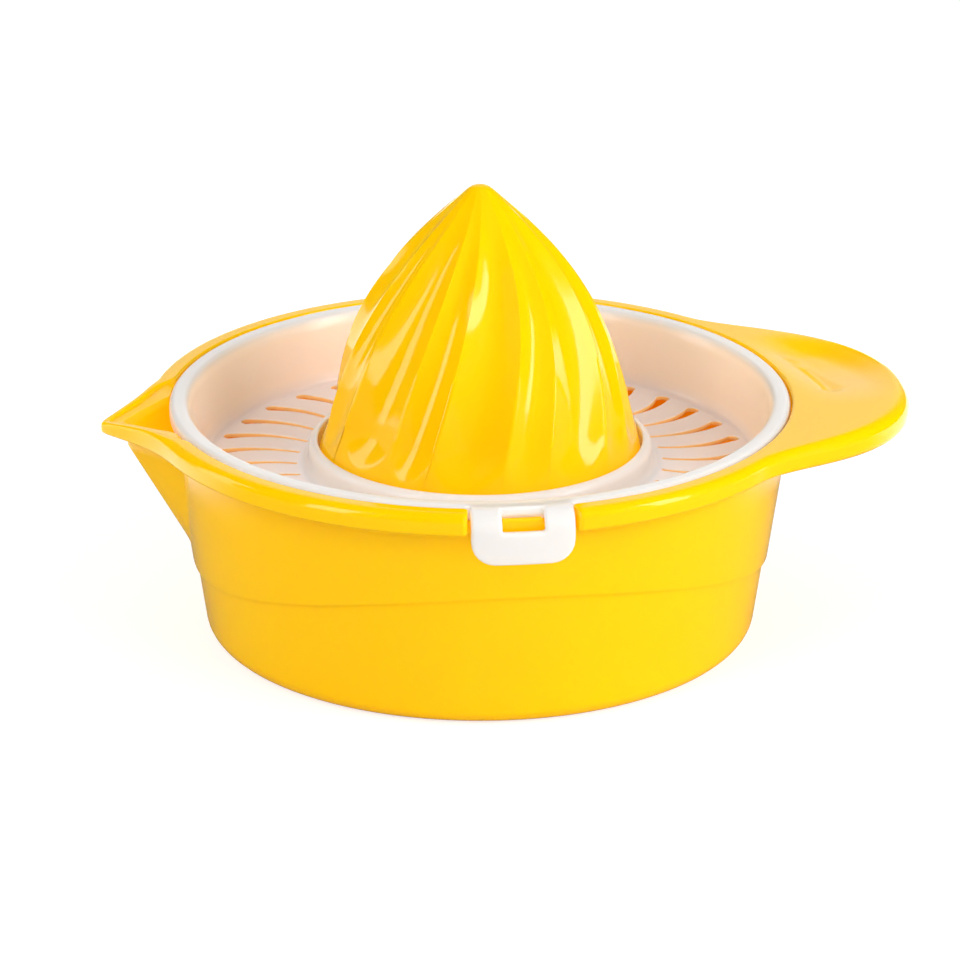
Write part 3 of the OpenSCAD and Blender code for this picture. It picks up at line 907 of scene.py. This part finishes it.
    def slot_sector(self, per_side: int = 10, per_length: int = 14) -> Shell:
        """One sector of the floor with its slot, top and underside, open at its borders.

        Args:
            per_side: Steps along the inner and the outer border.
            per_length: Steps along each side.

        Returns:
            The sector, which leans as its slot does.
        """
        pitch = 360.0 / self.slot_count
        tip, butt = self.slot_w_inner / 2, self.slot_w / 2
        near, far = self.slot_from + tip, self.slot_to

        def leant(r: Array, across: Array, a: Array) -> Array:
            """Places at radii, moved across and turned as the slots lean there."""
            t = np.clip((r - self.slot_from) / (self.slot_to - self.slot_from), 0.0, 1.0)
            way = np.radians(a + self.slot_phase + self.slot_swirl * t**2 - self.slot_back * t)
            x, y = r * np.cos(way) - across * np.sin(way), r * np.sin(way) + across * np.cos(way)
            return np.stack([x, y], axis=-1)

        def border() -> Array:
            """Places round the sector's border."""
            out = np.linspace(self.slots_in, self.slots_out, per_length + 1)[:-1]
            turn = np.linspace(-pitch / 2, pitch / 2, per_side + 1)[:-1]
            back = self.slots_in + self.slots_out - out
            r = np.concatenate([out, 0 * turn + self.slots_out, back, 0 * turn + self.slots_in])
            a = np.concatenate([0 * out - pitch / 2, turn, 0 * out + pitch / 2, -turn])
            return leant(r, 0 * r, a)

        def outline(grow: float) -> Array:
            """Places round the slot's edge, moved out by an amount."""
            t = np.linspace(0.0, 1.0, per_length + 1)[:-1]
            turn = np.radians(np.linspace(-90.0, 90.0, per_side + 1))[:-1]
            mid = near + (far - near) * t
            side, back = (tip + (butt - tip) * s**2 + grow for s in (t, 1.0 - t))
            wide, slim = butt + grow, tip + grow
            along = [mid, far + wide * np.cos(turn), near + far - mid, near - slim * np.cos(turn)]
            across = [-side, wide * np.sin(turn), back, -slim * np.sin(turn)]
            return leant(np.concatenate(along), np.concatenate(across), 0.0)

        edge, wide, slim = border(), outline(self.slot_edge), outline(0.0)
        rings = [(edge + (wide - edge) * share, 0.0) for share in (0.0, 0.45, 0.8, 1.0)]
        rings += [((wide + slim * 2) / 3, -0.12), (slim, -0.35), (slim, 0.15 - self.sieve_t)]
        rings += [(wide, -self.sieve_t), (edge, -self.sieve_t)]
        grid = np.stack([np.insert(place, 2, self.sieve_z + drop, axis=1) for place, drop in rings])
        return Shell.from_grid(grid, round_v=True)

    def tab(self, side: Side) -> Shell:
        """One finger tab: a strap that bends over the rim, with a window at the bend.

        Args:
            side: Where the tab is.

        Returns:
            The closed strap, rooted in the ring.
        """
        bend, soft, thick = self.tab_bend, self.tab_round, self.tab_t
        root = self.ring_r - self.tab_root
        bend_at = self.tab_r - bend
        flat = bend_at - root
        quarter = bend * math.pi / 2
        length = flat + quarter + self.tab_h - bend
        window_from = flat + bend * math.asin((self.window_top_r - bend_at) / bend)
        window_to = flat + bend * math.acos(1 - min(self.window_low, bend - HAIR) / bend)
        outer = self.frame(self.tab_w / 2, 0.0, length, (0.2, 0.2, self.tab_corner, self.tab_corner))
        inner = self.frame(self.window_w / 2, window_from, window_to, (self.window_corner,) * 4)
        gap = np.linalg.norm(inner - outer, axis=1)[:, None]
        way = (inner - outer) / gap
        turn = np.radians(np.linspace(0.0, 90.0, 5))
        rise = [(soft * (1 - math.cos(t)), soft * (1 - math.sin(t))) for t in turn]
        spans = [soft + (gap - 2 * soft) * s for s in np.linspace(0.0, 1.0, 8)[1:-1]]
        rings = [(outer + way * d, h) for d, h in rise] + [(outer + way * d, 0.0) for d in spans]
        rings += [(inner - way * d, h) for d, h in rise[::-1]]
        rings += [(inner - way * d, thick - h) for d, h in rise] + [(inner - way * d, thick) for d in spans]
        rings += [(outer + way * d, thick - h) for d, h in rise[::-1]]
        layers = []
        for place, deep in rings:
            across, v = place[:, 0], place[:, 1]
            angle = np.clip((v - flat) / bend, 0.0, math.pi / 2)
            r = np.minimum(root + v, bend_at) + (bend - deep) * np.sin(angle)
            z = self.ring_z - bend + (bend - deep) * np.cos(angle)
            z = z - np.maximum(v - flat - quarter, 0.0) - HAIR
            layers.append(np.stack([across, -np.sqrt(r**2 - across**2), z], axis=-1))
        turned = np.array([-1.0, -1.0, 1.0]) if side is Side.BACK else 1.0
        return Shell.from_grid(np.stack(layers) * turned, round_u=True, round_v=True).outward()

    @staticmethod
    def frame(half: float, start: float, end: float, corners: tuple[float, ...], steps: int = 16) -> Array:
        """Points round a rounded rectangle, each side and corner with the same count.

        Args:
            half: Half of its width.
            start: Where it starts along the strap.
            end: Where it ends.
            corners: Radii of its four corners, in order.
            steps: Points along each side.

        Returns:
            (points, 2) places across and along the strap.
        """
        centres = ((-1, start, 180.0), (1, start, 270.0), (1, end, 0.0), (-1, end, 90.0))
        bends = []
        for (sign, v, angle), radius in zip(centres, corners):
            turn = np.radians(np.linspace(angle, angle + 90.0, 7))
            middle = v + (radius if v == start else -radius)
            across = sign * (half - radius) + radius * np.cos(turn)
            bends.append(np.stack([across, middle + radius * np.sin(turn)], axis=1))
        share = np.linspace(0.0, 1.0, steps + 2)[1:-1, None]
        loop = []
        for bend, after in zip(bends, bends[1:] + bends[:1]):
            loop += [bend, bend[-1] + (after[0] - bend[-1]) * share]
        return np.concatenate(loop)

    def hub_half(self, start: float) -> Shell:
        """Half of the hub's tube, between the two slots for the cone's keys.

        Args:
            start: Direction in degrees of the slot that it starts from.

        Returns:
            A closed shell.
        """
        gap = math.degrees(math.asin(self.key_slot_w / 2 / self.hub_r))
        degrees = np.linspace(start + gap, start + 180.0 - gap, 73)
        low, high = self.plate_z - 0.4, self.plate_z + self.hub_h
        inner, outer, soft = self.hub_r - self.hub_wall, self.hub_r, self.hub_round
        loop = joined(
            1,
            run(inner, [low, high - 2.0]),
            arc((inner + soft, high - soft), soft, 180.0, 90.0, 4),
            arc((outer - soft, high - soft), soft, 90.0, 0.0, 4),
            run(outer, [high - 2.0, low]),
        )
        return Shell.from_grid(turned_out(loop, degrees), round_v=True, capped=True).outward()

    def build(self, copies: TurnedCopies, material: bpy.types.Material) -> Shell:
        """Build the strainer's skin.

        Args:
            copies: Node tree that sets the slots round the floor.
            material: Material of the strainer.

        Returns:
            The joined shells.
        """
        degrees = np.arange(0.0, 360.0, 1.0)
        plate = Shell.from_grid(turned_out(self.inner_section(), degrees), round_u=True)
        ring = Shell.from_grid(turned_out(self.outer_section(degrees), degrees), round_u=True)
        sieve = copies.form(self.slot_sector(), self.slot_count, material)
        tabs = [self.tab(side) for side in Side]
        return plate.plus(ring, sieve, *tabs, self.hub_half(0.0), self.hub_half(180.0))


@dataclass
class Reamer:
    """The hollow cone with twisted flutes and the keys inside its foot. Millimetres and degrees."""

    foot_z: float = 40.7
    foot_r: float = 36.7
    skirt_r: float = 36.4
    height: float = 63.3
    belly_r: Pair = (0.854, 0.824)
    belly_z: Pair = (0.381, 0.605)
    nose_r: float = 3.2
    nose_h: float = 1.4
    nose_share: float = 0.36
    pairs: int = 8
    wide_share: float = 0.62
    wide_depth: float = 2.6
    narrow_depth: float = 1.5
    start: float = 15.6
    twist: float = 26.0
    scoop_end: float = 4.6
    scoop_run: float = 7.5
    scoop_soft: float = 0.5
    scoop_past: float = 1.4
    ridge_soft: float = 0.12
    plain_foot: float = 3.0
    wall: float = 2.2
    wall_run: float = 10.0
    key_w: float = 4.0
    key_in: float = 24.0
    key_top: float = 0.22

    def side(self, u: Array) -> tuple[Array, Array]:
        """Radius and height of the cone's side, from its foot at 0 to its nose at 1."""
        r = (self.foot_r, *(share * self.foot_r for share in self.belly_r), self.nose_r)
        z = (0.0, *(share * self.height for share in self.belly_z), self.height - self.nose_h)
        b = ((1 - u) ** 3, 3 * u * (1 - u) ** 2, 3 * u**2 * (1 - u), u**3)
        return np.minimum(sum(w * v for w, v in zip(b, r)), self.skirt_r), sum(w * v for w, v in zip(b, z))

    def profile(self) -> tuple[Array, Array]:
        """Radii and heights of the outside, close together at the flutes' ends and at the nose."""
        r, z = self.side(np.concatenate([[0.0], np.linspace(0.02, 0.2, 44)[:-1], np.linspace(0.2, 1.0, 64)]))
        ball = (self.nose_r**2 + self.nose_h**2) / (2 * self.nose_h)
        turn = math.asin(self.nose_r / ball) * np.linspace(1.0, 0.0, 9)[1:]
        nose_z = self.height - ball * (1 - np.cos(turn)) - 0.05
        return np.concatenate([r, ball * np.sin(turn)]), np.concatenate([z, nose_z])

    def flute(self, share: Array, z: Array) -> Array:
        """Depth of the flutes, which are wide and narrow by turns.

        Args:
            share: Place round one pair, from 0 to 1.
            z: Height above the cone's foot.

        Returns:
            Depth below the plain side. Near the foot a flute ends in a rounded scoop.
        """
        wide = share / self.wide_share
        slim = (share - self.wide_share) / (1 - self.wide_share)
        first = share < self.wide_share
        across = np.clip(np.where(first, wide, slim), 0.0, 1.0)
        bowed, soft = 4 * across * (1 - across), np.sin(np.pi * across) ** 2
        hollow = (1 - self.ridge_soft) * bowed + self.ridge_soft * soft
        depth = np.where(first, self.wide_depth, self.narrow_depth)
        left = np.clip((self.scoop_end + self.scoop_run - z) / self.scoop_run, 0.0, self.scoop_past)
        fade = ease((self.height - z) / (self.height * self.nose_share)) * ease(z / self.plain_foot)
        bare = hollow - left**2
        return fade * depth * 0.5 * (bare + np.sqrt(bare**2 + self.scoop_soft**2 * left))

    def sector(self) -> Shell:
        """One untwisted pair of flutes with the wall behind it, open at its sides."""
        wide = np.linspace(0.0, self.wide_share, 27)[:-1]
        share = np.concatenate([wide, np.linspace(self.wide_share, 1.0, 18)])
        r, z = self.profile()
        outer = run(r - self.flute(share[:, None], z), z + self.foot_z)
        hollow_r, hollow_z = self.side(np.linspace(0.0, 0.93, 16))
        hollow_r = hollow_r - self.wall - self.wide_depth * ease(hollow_z / self.wall_run)
        hollow = run(
            np.concatenate([[0.0], hollow_r[::-1], [self.skirt_r - 0.3]]),
            np.concatenate([[hollow_z[-1]], hollow_z[::-1], [0.0]]) + self.foot_z,
        )
        degrees = self.start + 360.0 / self.pairs * share
        return Shell.from_grid(turned_out(joined(len(share), hollow, outer), degrees))

    def key(self, turn: float) -> Shell:
        """One key inside the foot, rooted in the wall.

        Args:
            turn: Its direction in degrees.

        Returns:
            A closed shell.
        """
        r, z = self.side(np.linspace(0.0, self.key_top, 6))
        wall = r - self.wall * 0.5 - self.wide_depth * ease(z / self.wall_run)
        out = np.concatenate([[self.key_in, self.key_in], wall])
        up = np.concatenate([[z[-1], 0.0], z]) + self.foot_z
        a = math.radians(turn)
        layers = []
        for off in (-self.key_w / 2, self.key_w / 2):
            x, y = out * math.cos(a) - off * math.sin(a), out * math.sin(a) + off * math.cos(a)
            layers.append(np.stack([x, y, up], axis=-1))
        return Shell.from_grid(np.stack(layers), round_v=True, capped=True).outward()

    def build(self, copies: TurnedCopies, material: bpy.types.Material) -> Shell:
        """Build the cone's skin.

        Args:
            copies: Node tree that sets the pairs of flutes round the axis and twists them.
            material: Material of the cone.

        Returns:
            The cone with its keys.
        """
        cone = copies.form(self.sector(), self.pairs, material, self.twist / self.height, self.foot_z)
        return cone.outward().plus(self.key(0.0), self.key(180.0))


@dataclass(frozen=True)
class Softbox:
    """A softbox that faces the juicer. Metres and watts."""

    name: str
    place: tuple[float, float, float]
    size: Pair
    power: float
    use: Use

    def hang(self) -> None:
        """Hang the softbox in the studio."""
        light = bpy.data.lights.new(self.name, "AREA")
        light.shape = "RECTANGLE"
        light.size, light.size_y = self.size
        light.energy = self.power
        lamp = bpy.data.objects.new(self.name, light)
        lamp.location = self.place
        lamp.visible_diffuse = self.use is not Use.HIGHLIGHT
        lamp.visible_glossy = self.use is not Use.LIGHT
        way = Vector((0.0, 0.0, 0.05)) - Vector(self.place)
        lamp.rotation_euler = way.to_track_quat("-Z", "Y").to_euler()
        bpy.context.scene.collection.objects.link(lamp)


# Wide softboxes light the juicer, and slim strips show as highlights on it
SOFTBOXES = (
    Softbox("key_right", (1.15, -0.75, 0.62), (1.6, 1.1), 22.0, Use.LIGHT),
    Softbox("fill_left", (-0.8, -0.8, 0.9), (0.5, 0.8), 6.5, Use.LIGHT),
    Softbox("back_top", (0.1, 0.9, 1.3), (1.2, 0.8), 1.5, Use.LIGHT),
    Softbox("strip_left", (-1.3, 0.35, 0.45), (0.45, 0.9), 4.0, Use.BOTH),
    Softbox("strip_front", (-1.05, -0.65, 0.52), (0.36, 1.0), 5.8, Use.HIGHLIGHT),
    Softbox("strip_right", (1.17, -0.72, 0.52), (0.34, 1.0), 7.8, Use.HIGHLIGHT),
)


@dataclass
class Studio:
    """The photograph's camera, soft lights, a white floor and a white surround."""

    distance_mm: float = 1200.0
    rise: float = 20.74
    round_to_left: float = 7.2
    aim_z_mm: float = 34.42
    focal_px: float = 5290.0
    picture_px: float = 960.0
    sensor_mm: float = 36.0
    room_light: float = 0.52
    sweep_x: float = 0.15
    sweep_half: Pair = (0.12, 0.42)
    sweep_y: Pair = (0.5, 0.95)
    sweep_light: Pair = (0.1, 1.0)
    beside_light: float = 0.15
    floor_half: float = 2.5
    floor_z: float = -5e-5
    paper: str = "#e6e6e6"
    paper_mirrored: str = "#9a9a9a"
    paper_seen: str = "#b0b0b0"
    paper_glow: float = 0.68
    bright_from: Pair = (0.115, 0.14)
    bright_behind: Pair = (-0.04, 0.04)
    bright_glow: float = 1.8
    bounces: int = 16

    def camera(self) -> None:
        """Set up the photograph's camera."""
        lens = bpy.data.cameras.new("photo_camera")
        lens.sensor_width = self.sensor_mm
        lens.lens = self.focal_px * self.sensor_mm / self.picture_px
        lens.clip_end = 20.0
        view = bpy.data.objects.new("photo_camera", lens)
        rise, turn = math.radians(self.rise), math.radians(self.round_to_left)
        away = Vector((-math.sin(turn) * math.cos(rise), -math.cos(turn) * math.cos(rise), math.sin(rise)))
        view.location = Vector((0.0, 0.0, self.aim_z_mm * MM)) + away * self.distance_mm * MM
        view.rotation_euler = (-away).to_track_quat("-Z", "Y").to_euler()
        bpy.context.scene.collection.objects.link(view)
        bpy.context.scene.camera = view

    @staticmethod
    def ramped(add: Adder, value: Any, *ramps: tuple[Any, Pair, Pair]) -> Any:
        """Multiply a value by smooth ramps.

        Args:
            add: Adds a node to the tree.
            value: The value, or the socket that gives it.
            *ramps: Each ramp's measure, the measure's span and the factors at the span's ends.

        Returns:
            The last node.
        """
        for measure, (start, end), (first, last) in ramps:
            span = {"From Min": start, "From Max": end, "To Min": first, "To Max": last}
            ramp = add("ShaderNodeMapRange", {"Value": measure, **span}, interpolation_type="SMOOTHSTEP")
            value = add("ShaderNodeMath", {0: value, 1: ramp}, operation="MULTIPLY")
        return value

    def surround(self) -> None:
        """Show white to the camera, a sweep behind the juicer to reflections, and soft light to the rest."""
        world = bpy.data.worlds.new("studio_surround")
        bpy.context.scene.world = world
        world.use_nodes = True
        tree = world.node_tree
        tree.nodes.clear()
        add = partial(add_node, tree)
        ray = add("ShaderNodeLightPath").outputs
        sight = {0: ray["Is Camera Ray"], 1: ray["Is Transmission Ray"]}
        seen = add("ShaderNodeMath", sight, operation="MAXIMUM")
        way = add("ShaderNodeTexCoord").outputs["Object"]
        parts = add("ShaderNodeSeparateXYZ", {"Vector": way}).outputs
        shift = add("ShaderNodeMath", {0: parts["X"], 1: self.sweep_x}, operation="SUBTRACT")
        aside = add("ShaderNodeMath", {0: shift}, operation="ABSOLUTE")
        # Behind the juicer hangs the white sweep; the room at its sides and on the camera's side is dark
        behind = (parts["Y"], self.sweep_y, self.sweep_light)
        sweep = self.ramped(add, 1.0, behind, (aside, self.sweep_half, (1.0, self.beside_light)))
        soft, mirrored, white = (
            add("ShaderNodeBackground", {"Color": linear("#ffffff"), "Strength": strength})
            for strength in (self.room_light, sweep, 1.0)
        )
        lit = add("ShaderNodeMixShader", {0: ray["Is Glossy Ray"], 1: soft, 2: mirrored})
        both = add("ShaderNodeMixShader", {0: seen, 1: lit, 2: white})
        add("ShaderNodeOutputWorld", {"Surface": both})

    def floor(self) -> None:
        """Lay a white paper floor that stays white in the picture and keeps a soft shadow."""
        mesh = bpy.data.meshes.new("floor")
        far = self.floor_half
        corners = [(x, y, self.floor_z) for x, y in ((-far, -far), (far, -far), (far, far), (-far, far))]
        mesh.from_pydata(corners, [], [(0, 1, 2, 3)])
        floor = bpy.data.objects.new("floor", mesh)
        bpy.context.scene.collection.objects.link(floor)
        material = bpy.data.materials.new("White paper floor")
        material.use_nodes = True
        tree = material.node_tree
        tree.nodes.clear()
        add = partial(add_node, tree)
        ray = add("ShaderNodeLightPath").outputs
        sight = {0: ray["Is Camera Ray"], 1: ray["Is Transmission Ray"]}
        seen = add("ShaderNodeMath", sight, operation="MAXIMUM")
        # Reflections find the floor dark, which keeps the wall deep in colour, but bright some way behind
        # the juicer, which makes the edges of the wall's upper band fade into the white paper
        place = add("ShaderNodeNewGeometry").outputs["Position"]
        away = add("ShaderNodeVectorMath", {0: place}, operation="LENGTH")
        depth = add("ShaderNodeSeparateXYZ", {"Vector": place}).outputs["Y"]
        apart = (away, self.bright_from, (0.0, self.bright_glow))
        bright = self.ramped(add, ray["Is Glossy Ray"], apart, (depth, self.bright_behind, (0.0, 1.0)))
        tones = {"A": linear(self.paper), "B": linear(self.paper_mirrored)}
        tone = add("ShaderNodeMix", {"Factor": ray["Is Glossy Ray"], **tones}, data_type="RGBA")
        paper, shown = (
            add(
                "ShaderNodeAddShader",
                {
                    0: add("ShaderNodeBsdfDiffuse", {"Color": colour}),
                    1: add("ShaderNodeEmission", {"Color": linear("#ffffff"), "Strength": glow}),
                },
            )
            for colour, glow in ((tone, bright), (linear(self.paper_seen), self.paper_glow))
        )
        both = add("ShaderNodeMixShader", {0: seen, 1: paper, 2: shown})
        add("ShaderNodeOutputMaterial", {"Surface": both})
        mesh.materials.append(material)

    def build(self) -> None:
        """Set up the whole studio."""
        self.camera()
        for softbox in SOFTBOXES:
            softbox.hang()
        self.surround()
        self.floor()
        bpy.context.scene.view_settings.view_transform = "Standard"
        # Inside the closed bowl light is thrown back and forth many times before it comes out of the slots
        bpy.context.scene.cycles.diffuse_bounces = self.bounces
        bpy.context.scene.cycles.max_bounces = self.bounces


def main() -> None:
    """Load the frame, dress the juicer and set the studio."""
    logging.basicConfig(level=logging.INFO, format="%(name)s %(message)s")
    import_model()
    Studio().build()
    yellow, white = YELLOW.material(), WHITE.material()
    copies = TurnedCopies()
    make_piece("bowl_moulding", Bowl().build().mesh("bowl_moulding"), Body.BOWL, yellow)
    strainer = Strainer().build(copies, white).mesh("strainer_moulding")
    sieve = make_piece("strainer_moulding", strainer, Body.STRAINER, white)
    # Milky thin walls let most of the light through, so the bowl under the strainer is lit as well
    sieve.visible_shadow = False
    cone = Reamer().build(copies, yellow).mesh("reamer_moulding", 60.0)
    make_piece("reamer_moulding", cone, Body.REAMER, yellow)


if __name__ == "__main__":
    main()
